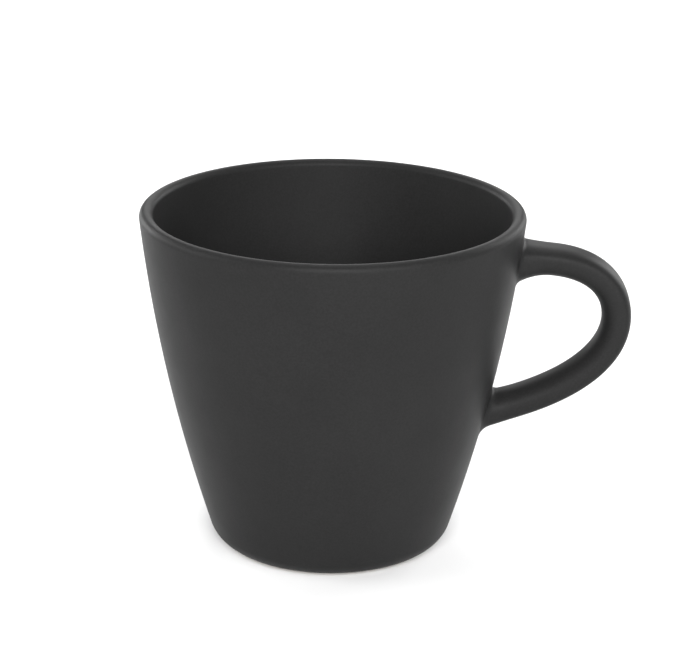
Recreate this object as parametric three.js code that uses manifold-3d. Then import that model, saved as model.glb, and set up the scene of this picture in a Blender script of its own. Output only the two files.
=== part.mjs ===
// A tapered stoneware coffee cup with a looped strap handle, fired as one piece.
// Millimetres, +Z up. The cup stands on its bare foot ring at z = 0 and its handle reaches along +X.
// The clay cup and the clay handle are cast apart and luted together with two pads of slip.
// Four skins of glaze cover the clay: outside, inside, under the base and round the handle.
// "Finished" sizes below include the glaze.

import * as THREE from "three";
import { mergeVertices } from "three/addons/utils/BufferGeometryUtils.js";
import Module from "manifold-3d";

const wasm = await Module();
wasm.setup();

// Cup
const RIM_RADIUS = 41.2;
const CUP_HEIGHT = 75;
const LIP_RADIUS = 1.5; // the lip is a full round, so the wall at the rim is twice this
const BASE_RADIUS = 25.5; // the outer wall's radius, if it ran straight down to z = 0
const WALL_BOW = 2; // how far the wall swells outwards halfway up
const BASE_CORNER = 5.5; // round between the wall and the base
const WALL_AT_FLOOR = 4;
const FLOOR_TOP = 5.6;
const FLOOR_CORNER = 9; // round between the inner wall and the floor

// Foot
const FOOT_OUTER = 21.2;
const FOOT_INNER = 18.9;
const FOOT_CHAMFER = 0.45;
const FOOT_CHAMFER_RADIUS = 22.4;
const RECESS_DEPTH = 1.6;
const RECESS_COVE = 1.2; // round between the recess and the inner side of the foot
const RECESS_COVE_CENTRE = 17.1;
const RECESS_COVE_END = 10; // degrees above level where the cove runs into the foot

// Glaze and slip
const GLAZE = 0.35;
const GAP = 0.05; // between touching pieces
const SLIP = 0.8;
const GLAZE_LINE_ANGLE = 58; // degrees below level where the outer glaze stops on the base corner
const BARE_BAND_ANGLE = 6; // degrees further round the base corner where the foot's chamfer begins

// Handle: its middle line lies in the XZ plane, measured from the cup's axis.
// Two Bezier arcs meet at the outermost point, where the loop runs straight down.
// The section is flatter and squarer on its outer face, and rounder on its belly, where the fingers go.
const GRIP_WIDTH = 9.8;
const GRIP_CROWN = 2.8; // from the middle line out to the outer face
const GRIP_BELLY = 3.5; // from the middle line in to the belly
const CROWN_SQUARENESS = 3; // exponents of the section's two superellipse halves: 2 is an ellipse
const BELLY_SQUARENESS = 2.2;
const UPPER_ROOT = [38.1, 64.6];
const UPPER_LIFT = [55.5, 67.05];
const SHOULDER = [61.55, 59.55];
const OUTERMOST = [61.55, 52.25];
const ELBOW = [61.55, 43.35];
const LOWER_SWEEP = [52.25, 34.65];
const LOWER_ROOT = [32.5, 29.7];
const ROOT_DEPTH = 4; // how far the middle line runs on inwards past each root
const FLARE_LENGTH = 9; // the section swells over this distance towards each root
const UPPER_FLARE = 1.9; // added all round the section at the upper root
const LOWER_FLARE = 0.5;

// Fineness
const AROUND = 48;
const WALL_STEPS = 5;
const ARC_STEPS = 3;
const GRIP_STATIONS = 34;
const GRIP_POINTS = 16;
const SLIP_STATIONS = 12; // a pad of slip is cut from this many stretches of the strap

const CLAY_INSET = GLAZE + GAP;
const HANDLE_REACH = OUTERMOST[0] + GRIP_CROWN;
const AXIS_X = (RIM_RADIUS - HANDLE_REACH) / 2; // puts the origin under the middle of the overall length

const clay = new THREE.MeshStandardMaterial({ color: 0x8d857b, roughness: 0.9, metalness: 0 });
const slip = new THREE.MeshStandardMaterial({ color: 0x978f85, roughness: 0.9, metalness: 0 });
const glaze = new THREE.MeshStandardMaterial({ color: 0x3a3a3b, roughness: 0.5, metalness: 0 });

const LIP_HEIGHT = CUP_HEIGHT - LIP_RADIUS;
const LIP_CENTRE = new THREE.Vector2(RIM_RADIUS - LIP_RADIUS, LIP_HEIGHT);

// The finished outer wall: a cone with a parabolic bow.
function outerRadius(z) {
  const s = z / LIP_HEIGHT;
  return THREE.MathUtils.lerp(BASE_RADIUS, RIM_RADIUS, s) + 4 * WALL_BOW * s * (1 - s);
}

// The finished inner wall: the outer wall less a thickness that grows towards the floor.
function innerRadius(z) {
  const s = (z - FLOOR_TOP) / (LIP_HEIGHT - FLOOR_TOP);
  return outerRadius(z) - THREE.MathUtils.lerp(WALL_AT_FLOOR, 2 * LIP_RADIUS, s);
}

// The wall's lean from upright at height z, in radians.
function lean(radiusAt, z) {
  const step = 0.1;
  return Math.atan((radiusAt(z + step) - radiusAt(z - step)) / (2 * step));
}

// The round that touches the level z = floorZ and the wall: its centre, and the wall's lean where it touches.
function corner(radiusAt, floorZ, radius) {
  const centreZ = floorZ + radius;
  let angle = 0;
  for (let pass = 0; pass < 4; pass++) {
    angle = lean(radiusAt, centreZ - radius * Math.sin(angle));
  }
  const touchZ = centreZ - radius * Math.sin(angle);
  const centre = new THREE.Vector2(radiusAt(touchZ) - radius * Math.cos(angle), centreZ);
  return { centre, angle, touchZ };
}

const baseCorner = corner(outerRadius, 0, BASE_CORNER);
const floorCorner = corner(innerRadius, FLOOR_TOP, FLOOR_CORNER);

// Points along an arc from one angle to another, both in radians and both included.
function arc(centre, radius, from, to, steps) {
  return Array.from({ length: steps + 1 }, (_, k) => {
    const angle = THREE.MathUtils.lerp(from, to, k / steps);
    return new THREE.Vector2(
      centre.x + radius * Math.cos(angle),
      centre.y + radius * Math.sin(angle),
    );
  });
}

// Points up a wall between two heights, moved offset along its outward normal, ends left out.
function wall(radiusAt, fromZ, toZ, offset) {
  return Array.from({ length: WALL_STEPS - 1 }, (_, k) => {
    const z = THREE.MathUtils.lerp(fromZ, toZ, (k + 1) / WALL_STEPS);
    const angle = lean(radiusAt, z);
    return new THREE.Vector2(
      radiusAt(z) + offset * Math.cos(angle),
      z - offset * Math.sin(angle),
    );
  });
}

// The outside from an angle on the base corner up to the top of the lip, inset into the clay.
function outside(inset, startAngle) {
  return [
    ...arc(baseCorner.centre, BASE_CORNER - inset, startAngle, -baseCorner.angle, ARC_STEPS),
    ...wall(outerRadius, baseCorner.touchZ, LIP_HEIGHT, -inset),
    ...arc(LIP_CENTRE, LIP_RADIUS - inset, 0, Math.PI / 2, ARC_STEPS),
  ];
}

// The inside from an angle on the lip down to the middle of the floor, inset into the clay.
function inside(inset, startAngle) {
  return [
    ...arc(LIP_CENTRE, LIP_RADIUS - inset, startAngle, Math.PI, ARC_STEPS),
    ...wall(innerRadius, LIP_HEIGHT, floorCorner.touchZ, inset),
    ...arc(floorCorner.centre, FLOOR_CORNER + inset, -floorCorner.angle, -Math.PI / 2, ARC_STEPS),
    new THREE.Vector2(0, FLOOR_TOP - inset),
  ];
}

// The recess under the cup from the axis out to the inner side of the foot, inset into the clay.
function underside(inset) {
  const coveCentre = new THREE.Vector2(RECESS_COVE_CENTRE, RECESS_DEPTH - RECESS_COVE);
  const coveEnd = THREE.MathUtils.degToRad(RECESS_COVE_END);
  return [
    new THREE.Vector2(0, RECESS_DEPTH + inset),
    ...arc(coveCentre, RECESS_COVE + inset, Math.PI / 2, coveEnd, ARC_STEPS),
  ];
}

// A manifold solid from a three.js geometry.
function solidOf(geometry) {
  const bare = new THREE.BufferGeometry();
  bare.setAttribute("position", geometry.getAttribute("position"));
  bare.setIndex(geometry.getIndex());
  const merged = mergeVertices(bare, 1e-4);
  return new wasm.Manifold(
    new wasm.Mesh({
      numProp: 3,
      vertProperties: merged.getAttribute("position").array,
      triVerts: new Uint32Array(merged.getIndex().array),
    }),
  );
}

// A named mesh from a manifold solid.
function meshOf(name, solid, material) {
  const result = solid.getMesh();
  const geometry = new THREE.BufferGeometry();
  geometry.setAttribute("position", new THREE.BufferAttribute(result.vertProperties, 3));
  geometry.setIndex(new THREE.BufferAttribute(result.triVerts, 1));
  geometry.computeVertexNormals();
  const mesh = new THREE.Mesh(geometry, material);
  mesh.name = name;
  return mesh;
}

// The solid of revolution of a profile about the cup's axis.
function turned(profile) {
  const geometry = new THREE.LatheGeometry(profile, AROUND);
  geometry.rotateX(Math.PI / 2);
  return solidOf(geometry);
}

// A skin between an outline and the same outline inset further.
function ring(outer, inner) {
  const profile = [...outer, ...inner.reverse()];
  return turned([...profile, profile[0].clone()]);
}

// The whole cup filled solid, inset into the clay, for trimming what meets its outside.
function filledCup(inset) {
  const outline = outside(inset, -Math.PI / 2);
  return turned([new THREE.Vector2(0, inset), ...outline, new THREE.Vector2(0, CUP_HEIGHT - inset)]);
}

function inPlane([x, z]) {
  return new THREE.Vector3(x, 0, z);
}

// The point a given distance beyond `end`, coming from `before`.
function beyond(end, before, distance) {
  return end.clone().sub(before).setLength(distance).add(end);
}

// The handle's middle line, from inside the wall at the top to inside the wall at the bottom.
function middleLine() {
  const [upperRoot, upperLift, shoulder, outermost, elbow, lowerSweep, lowerRoot] = [
    UPPER_ROOT,
    UPPER_LIFT,
    SHOULDER,
    OUTERMOST,
    ELBOW,
    LOWER_SWEEP,
    LOWER_ROOT,
  ].map(inPlane);
  const path = new THREE.CurvePath();
  path.add(new THREE.LineCurve3(beyond(upperRoot, upperLift, ROOT_DEPTH), upperRoot));
  path.add(new THREE.CubicBezierCurve3(upperRoot, upperLift, shoulder, outermost));
  path.add(new THREE.CubicBezierCurve3(outermost, elbow, lowerSweep, lowerRoot));
  path.add(new THREE.LineCurve3(lowerRoot, beyond(lowerRoot, lowerSweep, ROOT_DEPTH)));
  return path;
}

const handlePath = middleLine();

// How much the section swells at a distance from one end of the middle line.
function flare(rootFlare, fromEnd) {
  const left = THREE.MathUtils.clamp(1 - (fromEnd - ROOT_DEPTH) / FLARE_LENGTH, 0, 1);
  return rootFlare * left * left;
}

// A point of the strap's section, grown all round: across the strap and outwards from its middle line.
function sectionPoint(angle, swell) {
  const crown = Math.sin(angle) > 0;
  const power = 2 / (crown ? CROWN_SQUARENESS : BELLY_SQUARENESS);
  const depth = (crown ? GRIP_CROWN : GRIP_BELLY) + swell;
  return new THREE.Vector2(
    (GRIP_WIDTH / 2 + swell) * Math.sign(Math.cos(angle)) * Math.abs(Math.cos(angle)) ** power,
    depth * Math.sign(Math.sin(angle)) * Math.abs(Math.sin(angle)) ** power,
  );
}

// The handle strap between two of the stations along its middle line, with the section grown all round.
function strap(grow, first = 0, last = GRIP_STATIONS) {
  const total = handlePath.getLength();
  const positions = [];
  const triangles = [];
  const across = new THREE.Vector3(0, -1, 0);
  for (let i = first; i <= last; i++) {
    const u = i / GRIP_STATIONS;
    const middle = handlePath.getPointAt(u);
    const outwards = across.clone().cross(handlePath.getTangentAt(u));
    const swell = flare(UPPER_FLARE, total * u) + flare(LOWER_FLARE, total * (1 - u)) + grow;
    for (let j = 0; j < GRIP_POINTS; j++) {
      const offset = sectionPoint((2 * Math.PI * j) / GRIP_POINTS, swell);
      const point = middle
        .clone()
        .addScaledVector(across, offset.x)
        .addScaledVector(outwards, offset.y);
      positions.push(...point);
    }
  }
  for (let i = 0; i < last - first; i++) {
    for (let j = 0; j < GRIP_POINTS; j++) {
      const a = i * GRIP_POINTS + j;
      const b = i * GRIP_POINTS + ((j + 1) % GRIP_POINTS);
      triangles.push(b, a, a + GRIP_POINTS);
      triangles.push(b, a + GRIP_POINTS, b + GRIP_POINTS);
    }
  }
  const farEnd = (last - first) * GRIP_POINTS;
  for (let j = 1; j < GRIP_POINTS - 1; j++) {
    triangles.push(0, j, j + 1);
    triangles.push(farEnd, farEnd + j + 1, farEnd + j);
  }
  const geometry = new THREE.BufferGeometry();
  geometry.setAttribute("position", new THREE.Float32BufferAttribute(positions, 3));
  geometry.setIndex(triangles);
  return solidOf(geometry);
}

// The clay cup: recess, bare foot ring, outside, lip, inside and floor.
function cupBody() {
  return turned([
    ...underside(CLAY_INSET),
    new THREE.Vector2(FOOT_INNER, 0),
    new THREE.Vector2(FOOT_OUTER, 0),
    new THREE.Vector2(FOOT_CHAMFER_RADIUS, FOOT_CHAMFER),
    ...outside(CLAY_INSET, -THREE.MathUtils.degToRad(GLAZE_LINE_ANGLE + BARE_BAND_ANGLE)),
    ...inside(CLAY_INSET, Math.PI / 2).slice(1),
  ]);
}

// The clay handle, ending against the two pads of slip.
function handleClay() {
  return strap(-CLAY_INSET).subtract(filledCup(CLAY_INSET - SLIP - GAP));
}

// A pad of slip between the cup's clay wall and one end of the clay handle.
function slipPad(firstStation, lastStation) {
  return strap(-CLAY_INSET, firstStation, lastStation)
    .intersect(filledCup(CLAY_INSET - SLIP))
    .subtract(filledCup(CLAY_INSET - GAP));
}

// The outer glaze, from above the foot to the top of the lip, open where the slip pads pass through.
function outerGlaze() {
  const start = -THREE.MathUtils.degToRad(GLAZE_LINE_ANGLE);
  return ring(outside(0, start), outside(GLAZE, start)).subtract(strap(-GLAZE));
}

// The inner glaze, from just inside the top of the lip to the middle of the floor.
function innerGlaze() {
  const start = Math.PI / 2 + GAP / (LIP_RADIUS - GLAZE);
  return turned([...inside(GLAZE, start).reverse(), ...inside(0, start)]);
}

// The glaze in the recess under the cup.
function baseGlaze() {
  return turned([...underside(0), ...underside(GLAZE).reverse()]);
}

// The glaze round the handle, ending on the outer glaze.
function handleGlaze() {
  return strap(0).subtract(strap(-GLAZE)).subtract(filledCup(-GAP));
}

const mug = new THREE.Group();
mug.position.x = AXIS_X;
mug.add(
  meshOf("cup_body", cupBody(), clay),
  meshOf("handle", handleClay(), clay),
  meshOf("upper_joint_slip", slipPad(0, SLIP_STATIONS), slip),
  meshOf("lower_joint_slip", slipPad(GRIP_STATIONS - SLIP_STATIONS, GRIP_STATIONS), slip),
  meshOf("outer_glaze", outerGlaze(), glaze),
  meshOf("inner_glaze", innerGlaze(), glaze),
  meshOf("base_glaze", baseGlaze(), glaze),
  meshOf("handle_glaze", handleGlaze(), glaze),
);

export default mug;
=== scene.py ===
import math

import bpy
import numpy as np
from mathutils import Matrix, Vector


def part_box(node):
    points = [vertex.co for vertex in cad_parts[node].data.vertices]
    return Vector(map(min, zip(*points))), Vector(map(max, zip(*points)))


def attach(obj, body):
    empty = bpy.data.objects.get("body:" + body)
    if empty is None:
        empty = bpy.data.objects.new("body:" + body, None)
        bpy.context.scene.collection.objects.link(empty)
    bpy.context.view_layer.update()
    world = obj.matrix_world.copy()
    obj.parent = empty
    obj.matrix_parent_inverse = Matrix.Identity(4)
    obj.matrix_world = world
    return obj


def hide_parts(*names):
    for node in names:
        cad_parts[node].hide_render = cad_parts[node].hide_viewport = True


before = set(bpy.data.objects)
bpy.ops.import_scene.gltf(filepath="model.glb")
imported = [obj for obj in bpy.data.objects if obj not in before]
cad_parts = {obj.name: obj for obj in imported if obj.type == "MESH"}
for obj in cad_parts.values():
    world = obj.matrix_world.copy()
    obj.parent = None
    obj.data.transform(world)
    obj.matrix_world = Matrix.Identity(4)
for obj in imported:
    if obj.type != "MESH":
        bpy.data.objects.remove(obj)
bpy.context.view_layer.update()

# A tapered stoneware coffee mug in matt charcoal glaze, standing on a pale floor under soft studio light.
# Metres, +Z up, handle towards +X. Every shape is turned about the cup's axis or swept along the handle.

MM = 0.001

# What the frame says
GLAZE_LOW, GLAZE_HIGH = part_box("outer_glaze")
AXIS_X = (GLAZE_LOW.x + GLAZE_HIGH.x) / 2
RIM_RADIUS = (GLAZE_HIGH.y - GLAZE_LOW.y) / 2
CUP_HEIGHT = GLAZE_HIGH.z

# Cup
LIP_RADIUS = 1.5 * MM
BASE_RADIUS = 25.5 * MM
WALL_BOW = 2.0 * MM
BASE_CORNER = 5.5 * MM
WALL_AT_FLOOR = 4.0 * MM
FLOOR_TOP = 5.6 * MM
FLOOR_CORNER = 9.0 * MM
LIP_HEIGHT = CUP_HEIGHT - LIP_RADIUS

# Foot
FOOT_OUTER = 21.2 * MM
FOOT_INNER = 18.9 * MM
FOOT_CHAMFER = 0.45 * MM
FOOT_CHAMFER_RADIUS = 22.4 * MM
FOOT_EDGE = 0.35 * MM
RECESS_DEPTH = 1.6 * MM
RECESS_COVE = 1.2 * MM
RECESS_COVE_CENTRE = 17.1 * MM

# Glaze and slip
GLAZE = 0.35 * MM
GAP = 0.05 * MM
CLAY_INSET = GLAZE + GAP
SLIP = 0.8 * MM
GLAZE_LINE = math.radians(58)
RECESS_GLAZE_LINE = math.radians(10)
BARE_BAND = math.radians(5)

# Handle: its middle line is two Bezier arcs, given in mm outwards from the cup's axis and up
GRIP_WIDTH = 9.8 * MM
GRIP_CROWN = 2.8 * MM
GRIP_BELLY = 3.5 * MM
CROWN_SQUARENESS = 3.0
BELLY_SQUARENESS = 2.2
UPPER_ARC = ((38.1, 64.6), (55.5, 67.05), (61.55, 59.55), (61.55, 52.25))
LOWER_ARC = ((61.55, 52.25), (61.55, 43.35), (52.25, 34.65), (32.5, 29.7))
ROOT_DEPTH = 4.0 * MM
FLARE_LENGTH = 9.0 * MM
UPPER_FLARE = 1.9 * MM
LOWER_FLARE = 0.5 * MM
UPPER_FILLET = 1.0 * MM
LOWER_FILLET = 2.0 * MM
FILLET_SINK = 0.02 * MM
FILLET_PULL = 0.62

# Fineness
AROUND = 288
WALL_STEPS = 72
ARC_STEPS = 20
EDGE_STEPS = 6
GRIP_POINTS = 96
GRIP_STATIONS = 180
FILLET_STEPS = 10
PATH_SAMPLES = 1200
CORNER_ROUNDS = 6
LEAN_STEP = 0.1 * MM
ON_AXIS = 1e-7

# Glaze and clay surfaces
GLAZE_TONES = (0.0137, 0.0158)
GLAZE_ROUGHNESS = (0.44, 0.48)
GLAZE_GLOSS = 0.07
CLAY_ROUGHNESS = (0.8, 0.95)
CLAY_GLOSS = 0.25
CLAY_LIGHT, CLAY_DARK = (0.34, 0.295, 0.25, 1.0), (0.25, 0.215, 0.18, 1.0)
SLIP_LIGHT, SLIP_DARK = (0.36, 0.315, 0.27, 1.0), (0.28, 0.245, 0.21, 1.0)
NOISE_MIDDLE = (0.3, 0.7)


# ---- outlines, as lists of (radius, height) -------------------------------------------------------


def mix(a, b, share):
    return a + (b - a) * share


def outer_radius(z):
    share = z / LIP_HEIGHT
    return mix(BASE_RADIUS, RIM_RADIUS, share) + 4 * WALL_BOW * share * (1 - share)


def inner_radius(z):
    share = (z - FLOOR_TOP) / (LIP_HEIGHT - FLOOR_TOP)
    return outer_radius(z) - mix(WALL_AT_FLOOR, 2 * LIP_RADIUS, share)


def lean(radius_at, z):
    """The wall's lean from upright at height z."""
    return np.arctan((radius_at(z + LEAN_STEP) - radius_at(z - LEAN_STEP)) / (2 * LEAN_STEP))


def corner(radius_at, floor_z, radius):
    """The round that touches a level and the wall: its centre, its last angle and the height it ends at."""
    centre_z = floor_z + radius
    angle = 0.0
    for _ in range(CORNER_ROUNDS):
        angle = lean(radius_at, centre_z - radius * math.sin(angle))
    touch_z = centre_z - radius * math.sin(angle)
    return (radius_at(touch_z) - radius * math.cos(angle), centre_z), angle, touch_z


def arc(centre, radius, start, end):
    return [
        (centre[0] + radius * math.cos(a), centre[1] + radius * math.sin(a))
        for a in np.linspace(start, end, ARC_STEPS + 1)
    ]


def wall(radius_at, from_z, to_z, offset):
    """Points up a wall between two heights, moved offset along its outward normal, ends left out."""
    points = []
    for z in np.linspace(from_z, to_z, WALL_STEPS + 1)[1:-1]:
        angle = lean(radius_at, z)
        points.append((radius_at(z) + offset * math.cos(angle), z - offset * math.sin(angle)))
    return points


LIP_CENTRE = (RIM_RADIUS - LIP_RADIUS, LIP_HEIGHT)
OUTER_LEAN = lean(outer_radius, LIP_HEIGHT)
INNER_LEAN = lean(inner_radius, LIP_HEIGHT)


def outside(inset, start):
    """From an angle on the base corner up to the top of the lip."""
    centre, angle, touch_z = corner(outer_radius, 0.0, BASE_CORNER)
    return [
        *arc(centre, BASE_CORNER - inset, start, -angle),
        *wall(outer_radius, touch_z, LIP_HEIGHT, -inset),
        *arc(LIP_CENTRE, LIP_RADIUS - inset, -OUTER_LEAN, math.pi / 2),
    ]


def inside(inset):
    """From just past the top of the lip down to the middle of the floor."""
    centre, angle, touch_z = corner(inner_radius, FLOOR_TOP, FLOOR_CORNER)
    lip = arc(LIP_CENTRE, LIP_RADIUS - inset, math.pi / 2, math.pi - INNER_LEAN)
    return [
        *lip[1:],
        *wall(inner_radius, LIP_HEIGHT, touch_z, inset),
        *arc(centre, FLOOR_CORNER + inset, -angle, -math.pi / 2),
        *[(r, FLOOR_TOP - inset) for r in np.linspace(centre[0], 0, ARC_STEPS)[1:]],
    ]


def underside(inset):
    """From the axis out over the recess and down its cove."""
    centre = (RECESS_COVE_CENTRE, RECESS_DEPTH - RECESS_COVE)
    flat = [(r, RECESS_DEPTH + inset) for r in np.linspace(0, RECESS_COVE_CENTRE, ARC_STEPS)[:-1]]
    return [*flat, *arc(centre, RECESS_COVE + inset, math.pi / 2, RECESS_GLAZE_LINE)]


def bead(first, last):
    """Half a circle from one point to another, bulging to the right of the way between them."""
    start, end = np.array(first), np.array(last)
    middle, arm = (start + end) / 2, (start - end) / 2
    bulge = np.array((-arm[1], arm[0]))
    angles = np.linspace(0, math.pi, EDGE_STEPS + 2)[1:-1]
    return [tuple(middle + arm * math.cos(a) + bulge * math.sin(a)) for a in angles]


def rounded(before, point, after, radius):
    """A corner of an outline softened by a curve that starts and ends a radius away from it."""
    point = np.array(point)
    arms = [np.array(neighbour) - point for neighbour in (before, after)]
    start, end = (point + radius * arm / np.linalg.norm(arm) for arm in arms)
    shares = np.linspace(0, 1, EDGE_STEPS + 1)
    return [tuple((1 - t) ** 2 * start + 2 * t * (1 - t) * point + t * t * end) for t in shares]


# ---- meshes ---------------------------------------------------------------------------------------


def mesh_object(name, points, faces):
    mesh = bpy.data.meshes.new(name)
    mesh.from_pydata([tuple(p) for p in points], [], faces)
    mesh.validate()
    mesh.polygons.foreach_set("use_smooth", [True] * len(mesh.polygons))
    piece = bpy.data.objects.new(name, mesh)
    bpy.context.scene.collection.objects.link(piece)
    return piece


def turned(name, profile):
    """A closed outline turned about the cup's axis. A point on the axis becomes one vertex."""
    angles = np.linspace(0, 2 * math.pi, AROUND, endpoint=False)
    points, rows = [], []
    for radius, height in profile:
        if radius < ON_AXIS:
            rows.append([len(points)] * AROUND)
            points.append((AXIS_X, 0.0, height))
        else:
            rows.append(list(range(len(points), len(points) + AROUND)))
            points.extend((AXIS_X + radius * math.cos(a), radius * math.sin(a), height) for a in angles)
    faces = []
    closed = profile[0][0] > ON_AXIS
    for low, high in zip(rows, rows[1:] + rows[:1] if closed else rows[1:]):
        for k in range(AROUND):
            after = (k + 1) % AROUND
            ring = dict.fromkeys((low[k], low[after], high[after], high[k]))
            if len(ring) > 2:
                faces.append(tuple(ring))
    return mesh_object(name, points, faces)


# ---- the handle's surface -------------------------------------------------------------------------


def bezier(control, shares):
    a, b, c, d = (np.array(p) * MM for p in control)
    t = shares[:, None]
    return (1 - t) ** 3 * a + 3 * (1 - t) ** 2 * t * b + 3 * (1 - t) * t * t * c + t ** 3 * d


def middle_line():
    """Distance along the handle's middle line, run on inwards at both roots, its points and unit tangents."""
    shares = np.linspace(0, 1, PATH_SAMPLES)
    line = np.vstack([bezier(UPPER_ARC, shares), bezier(LOWER_ARC, shares)[1:]])
    first = (line[0] - line[1]) / np.linalg.norm(line[0] - line[1])
    last = (line[-1] - line[-2]) / np.linalg.norm(line[-1] - line[-2])
    line = np.vstack([line[0] + first * ROOT_DEPTH, line, line[-1] + last * ROOT_DEPTH])
    steps = np.linalg.norm(np.diff(line, axis=0), axis=1)
    along = np.concatenate([[0], np.cumsum(steps)])
    tangents = np.gradient(line, along, axis=0)
    tangents /= np.linalg.norm(tangents, axis=1)[:, None]
    return along, line, tangents


ALONG, LINE, TANGENTS = middle_line()


def flare(root_flare, from_end):
    """How much the section swells at a distance from one end of the middle line."""
    return root_flare * np.clip(1 - (from_end - ROOT_DEPTH) / FLARE_LENGTH, 0, 1) ** 2


def strap_points(distance, grow):
    """Points of the strap's surface: distance is an array whose last axis runs round the section."""
    angles = np.linspace(0, 2 * math.pi, GRIP_POINTS, endpoint=False)
    cosine, sine = np.cos(angles), np.sin(angles)
    power = 2 / np.where(sine > 0, CROWN_SQUARENESS, BELLY_SQUARENESS)
    swell = flare(UPPER_FLARE, distance) + flare(LOWER_FLARE, ALONG[-1] - distance) + grow
    across = (GRIP_WIDTH / 2 + swell) * np.sign(cosine) * np.abs(cosine) ** power
    depth = np.where(sine > 0, GRIP_CROWN, GRIP_BELLY) + swell
    outwards = depth * np.sign(sine) * np.abs(sine) ** power
    x = np.interp(distance, ALONG, LINE[:, 0])
    z = np.interp(distance, ALONG, LINE[:, 1])
    tx = np.interp(distance, ALONG, TANGENTS[:, 0])
    tz = np.interp(distance, ALONG, TANGENTS[:, 1])
    return np.stack([AXIS_X + x - tz * outwards, across, z + tx * outwards], axis=-1)


def height_off_wall(points):
    """How far points stand off the cup's finished outer wall."""
    radius = np.hypot(points[..., 0] - AXIS_X, points[..., 1])
    z = points[..., 2]
    return (radius - outer_radius(z)) * np.cos(lean(outer_radius, z))


def onto_wall(points, sink):
    """Points moved level onto the cup's finished outer wall, sunk a little into it."""
    angle = np.arctan2(points[..., 1], points[..., 0] - AXIS_X)
    radius = outer_radius(points[..., 2]) - sink
    return np.stack([AXIS_X + radius * np.cos(angle), radius * np.sin(angle), points[..., 2]], axis=-1)


def wall_normals(points):
    angle = np.arctan2(points[..., 1], points[..., 0] - AXIS_X)
    tilt = lean(outer_radius, points[..., 2])
    level = np.cos(tilt)
    return np.stack([np.cos(angle) * level, np.sin(angle) * level, -np.sin(tilt)], axis=-1)


def crossings(grow, height):
    """Where each line along the strap stands a height off the wall, at the upper and at the lower root."""
    distance = np.repeat(ALONG[:, None], GRIP_POINTS, axis=1)
    off = height_off_wall(strap_points(distance, grow)) - height
    clear = off > 0
    columns = np.arange(GRIP_POINTS)
    upper = clear.argmax(axis=0)
    lower = len(ALONG) - 1 - clear[::-1].argmax(axis=0)
    found = []
    for first, second in ((upper - 1, upper), (lower, lower + 1)):
        a, b = off[first, columns], off[second, columns]
        found.append(mix(ALONG[first], ALONG[second], a / (a - b)))
    return found


def strap_lines(start, end, grow, stations):
    shares = np.linspace(0, 1, stations + 1)[:, None]
    return strap_points(mix(start[None], end[None], shares), grow)


def fillet(edge, tangent_points, reach):
    """Rows of points from the wall to the strap round one root.

    edge is where strap and wall cross, and reach is how far the fillet runs out over the wall.
    """
    along_edge = np.roll(edge, -1, axis=0) - np.roll(edge, 1, axis=0)
    away = np.cross(along_edge, wall_normals(edge))
    away /= np.linalg.norm(away, axis=1)[:, None]
    centre = edge.mean(axis=0)
    away *= np.sign(((edge - centre) * away).sum(axis=1))[:, None]
    landing = onto_wall(edge + away * reach, FILLET_SINK)
    near_wall = mix(landing, edge, FILLET_PULL)
    near_strap = mix(tangent_points, edge, FILLET_PULL)
    rows = []
    for t in np.linspace(0, 1, FILLET_STEPS, endpoint=False):
        rows.append(
            (1 - t) ** 3 * landing
            + 3 * (1 - t) ** 2 * t * near_wall
            + 3 * (1 - t) * t * t * near_strap
            + t ** 3 * tangent_points
        )
    return np.array(rows)


def grid_faces(rows, around, closed):
    """Faces of a grid whose rows run round the section; closed also joins the last row to the first."""
    faces = []
    for i in range(rows if closed else rows - 1):
        above = ((i + 1) % rows) * around
        for j in range(around):
            k = (j + 1) % around
            faces.append((i * around + j, i * around + k, above + k, above + j))
    return faces


def strap_skin(name):
    """The glaze round the handle: filleted onto the cup outside, plain inside, closed into one tube wall."""
    upper, lower = crossings(0.0, 0.0)
    upper_edge = strap_points(upper, 0.0)
    lower_edge = strap_points(lower, 0.0)
    body = strap_lines(upper + UPPER_FILLET, lower - LOWER_FILLET, 0.0, GRIP_STATIONS)
    skin = np.concatenate([
        fillet(upper_edge, body[0], UPPER_FILLET),
        body,
        fillet(lower_edge, body[-1], LOWER_FILLET)[::-1],
        strap_lines(*crossings(-GLAZE, 0.0), -GLAZE, GRIP_STATIONS // 2)[::-1],
    ])
    faces = grid_faces(len(skin), GRIP_POINTS, closed=True)
    return mesh_object(name, skin.reshape(-1, 3), faces)


def strap_solid(name, grow, start, end, stations):
    """A stretch of the strap as a closed solid between two sets of distances along it."""
    rows = strap_lines(start, end, grow, stations)
    points = list(rows.reshape(-1, 3))
    faces = grid_faces(len(rows), GRIP_POINTS, closed=False)
    last = (len(rows) - 1) * GRIP_POINTS
    points += [rows[0].mean(axis=0), rows[-1].mean(axis=0)]
    for j in range(GRIP_POINTS):
        k = (j + 1) % GRIP_POINTS
        faces.append((k, j, len(points) - 2))
        faces.append((last + j, last + k, len(points) - 1))
    return mesh_object(name, points, faces)


# ---- pieces ---------------------------------------------------------------------------------------


def clay_cup():
    outer = outside(CLAY_INSET, -(GLAZE_LINE + BARE_BAND))
    recess = underside(CLAY_INSET)
    inner_edge, outer_edge = (FOOT_INNER, 0.0), (FOOT_OUTER, 0.0)
    chamfer = (FOOT_CHAMFER_RADIUS, FOOT_CHAMFER)
    foot = [
        *rounded(recess[-1], inner_edge, outer_edge, FOOT_EDGE),
        *rounded(inner_edge, outer_edge, chamfer, FOOT_EDGE),
        *rounded(outer_edge, chamfer, outer[0], FOOT_EDGE),
    ]
    return turned("clay_cup", [*recess, *foot, *outer, *inside(CLAY_INSET)])


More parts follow.
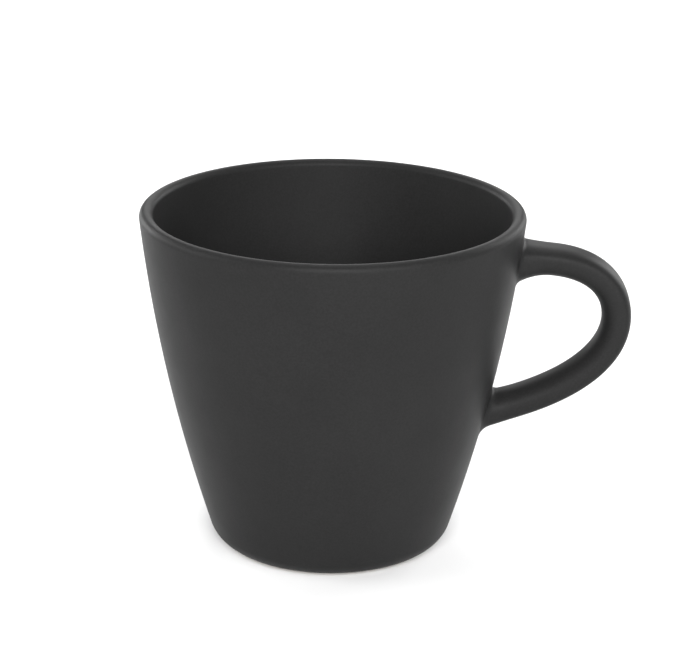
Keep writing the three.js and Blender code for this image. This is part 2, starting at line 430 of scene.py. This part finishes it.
def cup_glaze():
    """One coat from the glaze line above the foot, over the lip and down to the middle of the floor."""
    surface = [*outside(0.0, -GLAZE_LINE), *inside(0.0)]
    back = [*outside(GLAZE, -GLAZE_LINE), *inside(GLAZE)][::-1]
    return turned("cup_glaze", [(0.0, FLOOR_TOP - GLAZE), *back[1:], *bead(back[-1], surface[0]), *surface])


def recess_glaze():
    surface = underside(0.0)
    back = underside(GLAZE)[::-1]
    return turned("recess_glaze", [*surface, *bead(surface[-1], back[0]), *back])


def clay_handle():
    upper, lower = crossings(-CLAY_INSET, SLIP + GAP - CLAY_INSET)
    return strap_solid("clay_handle", -CLAY_INSET, upper, lower, GRIP_STATIONS)


def slip_pads():
    near = crossings(-CLAY_INSET, GAP - CLAY_INSET)
    far = crossings(-CLAY_INSET, SLIP - CLAY_INSET)
    return (
        strap_solid("upper_slip", -CLAY_INSET, near[0], far[0], EDGE_STEPS),
        strap_solid("lower_slip", -CLAY_INSET, far[1], near[1], EDGE_STEPS),
    )


# ---- materials ------------------------------------------------------------------------------------


class Nodes:
    """A small helper that adds nodes to a material and links them."""

    def __init__(self, name):
        self.material = bpy.data.materials.new(name)
        self.material.use_nodes = True
        self.tree = self.material.node_tree
        self.shader = self.tree.nodes["Principled BSDF"]
        self.place = self.add("ShaderNodeTexCoord").outputs["Object"]

    def add(self, kind, **inputs):
        node = self.tree.nodes.new(kind)
        for name, value in inputs.items():
            node.inputs[name.replace("_", " ")].default_value = value
        return node

    def join(self, output, socket):
        self.tree.links.new(output, socket)

    def noise(self, size, detail=2.0, roughness=0.5):
        """Noise whose features are about size metres across."""
        node = self.add("ShaderNodeTexNoise", Scale=1 / size, Detail=detail, Roughness=roughness)
        self.join(self.place, node.inputs["Vector"])
        return node.outputs["Fac"]

    def ramp(self, value, stops):
        node = self.tree.nodes.new("ShaderNodeValToRGB")
        elements = node.color_ramp.elements
        while len(elements) < len(stops):
            elements.new(0.5)
        for element, (position, colour) in zip(elements, stops):
            element.position = position
            element.color = colour
        self.join(value, node.inputs["Fac"])
        return node.outputs["Color"]

    def tones(self, value, dark, light):
        """The middle of a noise turned into colours from dark to light."""
        return self.ramp(value, tuple(zip(NOISE_MIDDLE, (dark, light))))

    def spread(self, value, low, high):
        """The middle of a noise stretched to run from low to high."""
        node = self.add("ShaderNodeMapRange")
        names = ("From Min", "From Max", "To Min", "To Max")
        for name, number in zip(names, (*NOISE_MIDDLE, low, high)):
            node.inputs[name].default_value = number
        self.join(value, node.inputs["Value"])
        return node.outputs["Result"]

    def mix_colours(self, share, first, second, mode="MIX"):
        node = self.tree.nodes.new("ShaderNodeMix")
        node.data_type = "RGBA"
        node.blend_type = mode
        for socket, value in ((node.inputs[0], share), (node.inputs[6], first), (node.inputs[7], second)):
            if isinstance(value, bpy.types.NodeSocket):
                self.join(value, socket)
            else:
                socket.default_value = value
        return node.outputs[2]

    def bumps(self, layers):
        """Bump layers of (height, depth in metres, strength), laid over each other."""
        normal = None
        for height, depth, strength in layers:
            node = self.add("ShaderNodeBump", Strength=strength, Distance=depth)
            self.join(height, node.inputs["Height"])
            if normal is not None:
                self.join(normal, node.inputs["Normal"])
            normal = node.outputs["Normal"]
        self.join(normal, self.shader.inputs["Normal"])


def grey(value, warmth=0.0):
    return (value * (1 + warmth), value, value * (1 - warmth), 1.0)


def matt_glaze():
    """Charcoal matt glaze: faint clouding, fine mineral speckle and a soft eggshell surface."""
    n = Nodes("charcoal_glaze")
    clouds = n.tones(n.noise(22 * MM, 3.0), *(grey(tone) for tone in GLAZE_TONES))
    speckle = n.spread(n.noise(0.45 * MM, 1.0), 0.9, 1.1)
    n.join(n.mix_colours(1.0, clouds, speckle, "MULTIPLY"), n.shader.inputs["Base Color"])
    n.join(n.spread(n.noise(6 * MM, 3.0), *GLAZE_ROUGHNESS), n.shader.inputs["Roughness"])
    n.shader.inputs["Specular IOR Level"].default_value = GLAZE_GLOSS
    n.bumps((
        (n.noise(5 * MM, 2.0), 0.03 * MM, 0.35),
        (n.noise(0.6 * MM, 2.0), 0.006 * MM, 0.5),
    ))
    return n.material


def bare_clay(name, light, dark):
    """Dry fired stoneware: sandy grain with small iron spots."""
    n = Nodes(name)
    body = n.tones(n.noise(3 * MM, 5.0, 0.65), dark, light)
    spots = n.ramp(n.noise(0.7 * MM, 1.0), ((0.66, grey(1.0)), (0.72, grey(0.35, 0.2))))
    n.join(n.mix_colours(1.0, body, spots, "MULTIPLY"), n.shader.inputs["Base Color"])
    n.join(n.spread(n.noise(1 * MM, 2.0), *CLAY_ROUGHNESS), n.shader.inputs["Roughness"])
    n.shader.inputs["Specular IOR Level"].default_value = CLAY_GLOSS
    n.bumps((
        (n.noise(1.2 * MM, 4.0, 0.7), 0.05 * MM, 0.6),
        (n.noise(0.25 * MM, 2.0), 0.02 * MM, 0.6),
    ))
    return n.material


# ---- assembly -------------------------------------------------------------------------------------


def fit(piece, material, slot, *nodes):
    """Gives a piece its material, and lets it stand for its CAD nodes."""
    piece.data.materials.append(material)
    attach(piece, "root")
    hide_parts(*nodes)


def build_mug():
    glaze = matt_glaze()
    clay = bare_clay("bare_clay", CLAY_LIGHT, CLAY_DARK)
    slip = bare_clay("slip_clay", SLIP_LIGHT, SLIP_DARK)
    upper_slip, lower_slip = slip_pads()
    fit(clay_cup(), clay, "fired_clay", "cup_body")
    fit(clay_handle(), clay, "fired_clay", "handle")
    fit(upper_slip, slip, "joint_slip", "upper_joint_slip")
    fit(lower_slip, slip, "joint_slip", "lower_joint_slip")
    fit(cup_glaze(), glaze, "matt_glaze", "outer_glaze", "inner_glaze")
    fit(recess_glaze(), glaze, "matt_glaze", "base_glaze")
    fit(strap_skin("grip_glaze"), glaze, "matt_glaze", "handle_glaze")


# ---- stage, light and camera ----------------------------------------------------------------------

FLOOR_SIZE = 6.0
FLOOR_TONES = (0.82, 0.84)
FLOOR_CLOUDS = 0.3
FLOOR_ROUGHNESS = 0.9
FLOOR_GLOSS = 0.1
SOFTBOX_SIZE = 0.7
SOFTBOX_DISTANCE = 1.2
WORLD_STRENGTH = 0.02
CAMERA_TURN = 0.05
CAMERA_BACK = 449.24 * MM
CAMERA_HEIGHT = 206.57 * MM
AIM_RIGHT = 3.94 * MM
AIM_HEIGHT = 46.905 * MM
CAMERA_ROLL = 0.01273
SENSOR_WIDTH = 36.0
LENS = 112.93
CLIP_START = 0.01


def floor():
    half = FLOOR_SIZE / 2
    corners = [(-half, -half, 0), (half, -half, 0), (half, half, 0), (-half, half, 0)]
    plane = mesh_object("floor", corners, [(0, 1, 2, 3)])
    n = Nodes("floor")
    tones = n.tones(n.noise(FLOOR_CLOUDS, 2.0), *(grey(tone) for tone in FLOOR_TONES))
    n.join(tones, n.shader.inputs["Base Color"])
    n.shader.inputs["Roughness"].default_value = FLOOR_ROUGHNESS
    n.shader.inputs["Specular IOR Level"].default_value = FLOOR_GLOSS
    plane.data.materials.append(n.material)


def around_axis(right, back, height, turn=CAMERA_TURN):
    """A point given as seen from the camera: right of the cup's axis, behind it, and above the floor."""
    return Vector((AXIS_X, 0, 0)) + Matrix.Rotation(turn, 4, "Z") @ Vector((right, back, height))


def aimed(thing, place, target, roll=0.0):
    thing.location = place
    turn = (target - place).to_track_quat("-Z", "Y").to_matrix().to_4x4()
    thing.rotation_euler = (turn @ Matrix.Rotation(roll, 4, "Z")).to_euler()


def softbox(name, azimuth, elevation, watts):
    """A square softbox facing the cup. Azimuth 0 stands behind the camera, and 90 to its right."""
    data = bpy.data.lights.new(name, "AREA")
    data.shape = "SQUARE"
    data.size = SOFTBOX_SIZE
    data.energy = watts
    light = bpy.data.objects.new(name, data)
    light.visible_camera = False
    bpy.context.scene.collection.objects.link(light)
    turn, rise = math.radians(azimuth), math.radians(elevation)
    level = SOFTBOX_DISTANCE * math.cos(rise)
    height = SOFTBOX_DISTANCE * math.sin(rise)
    place = around_axis(level * math.sin(turn), -level * math.cos(turn), height)
    aimed(light, place, around_axis(0, 0, CUP_HEIGHT / 2))


def studio():
    """Softboxes in front, on the left, behind and above."""
    softbox("front_low", 0, 14, 4.0)
    softbox("front_high", 0, 33, 16.5)
    softbox("front_right_low", 30, 14, 4.0)
    softbox("front_right", 45, 30, 5.0)
    softbox("left", -90, 25, 8.5)
    softbox("back_left_low", -135, 8, 8.0)
    softbox("back_left", -135, 25, 1.5)
    softbox("back_right_low", 135, 8, 3.5)
    softbox("back_right", 135, 25, 6.0)
    softbox("back", 180, 25, 4.0)
    softbox("above", 180, 70, 6.0)
    world = bpy.data.worlds.new("studio")
    world.use_nodes = True
    background = world.node_tree.nodes["Background"]
    background.inputs["Color"].default_value = (1.0, 1.0, 1.0, 1.0)
    background.inputs["Strength"].default_value = WORLD_STRENGTH
    bpy.context.scene.world = world
    bpy.context.scene.view_settings.view_transform = "Standard"


def camera():
    data = bpy.data.cameras.new("camera")
    data.sensor_width = SENSOR_WIDTH
    data.lens = LENS
    data.clip_start = CLIP_START
    view = bpy.data.objects.new("camera", data)
    bpy.context.scene.collection.objects.link(view)
    place = around_axis(0, -CAMERA_BACK, CAMERA_HEIGHT)
    aimed(view, place, around_axis(AIM_RIGHT, 0, AIM_HEIGHT), CAMERA_ROLL)
    bpy.context.scene.camera = view


camera()
floor()
studio()
build_mug()
